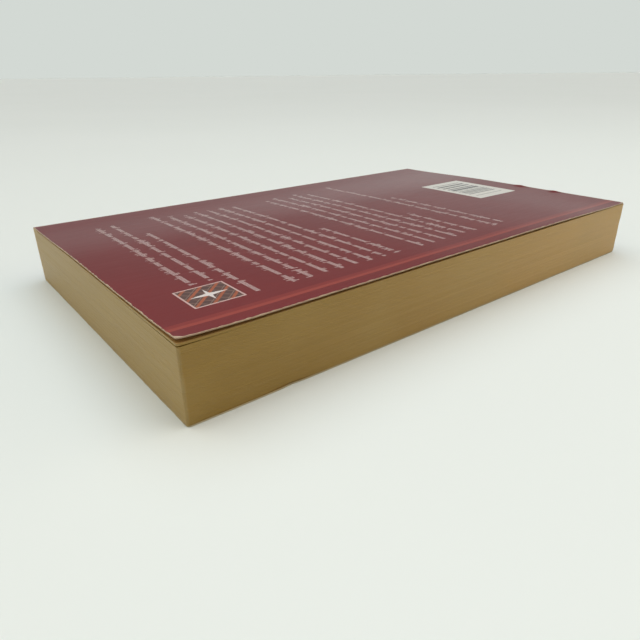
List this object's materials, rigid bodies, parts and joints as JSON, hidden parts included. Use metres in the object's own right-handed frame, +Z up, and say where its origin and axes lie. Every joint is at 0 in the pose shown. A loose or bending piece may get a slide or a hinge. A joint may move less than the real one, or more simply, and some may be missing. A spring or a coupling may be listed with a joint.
{
  "type": "paperback book",
  "caption": "Closed paperback book lying on its front cover, with covers that open at the scores beside the spine.",
  "frame": {"origin": "middle of the underside of the closed book, which is the outer face of the front cover", "axes": "+X towards the spine, +Y towards the head of the pages, +Z up through the back cover"},
  "size_m": [0.109, 0.178, 0.0185],
  "materials": {
    "pages": "satin",
    "cover_card": "satin",
    "binding_glue": "satin"
  },
  "bodies": {
    "bound_block": {"text_block": "pages", "spine_glue": "binding_glue", "back_side_glue": "binding_glue", "front_side_glue": "binding_glue", "cover_spine": "cover_card"},
    "back_cover": {"back_cover": "cover_card"},
    "front_cover": {"front_cover": "cover_card"}
  },
  "joints": [
    {"name": "back_cover_fold", "type": "hinge", "parent": "bound_block", "child": "back_cover", "pos_m": [0.048, 0, 0.0185], "axis": [0, 1, 0], "range_deg": [0, 175]},
    {"name": "front_cover_fold", "type": "hinge", "parent": "bound_block", "child": "front_cover", "pos_m": [0.048, 0, 0], "axis": [0, -1, 0], "range_deg": [0, 175]}
  ]
}
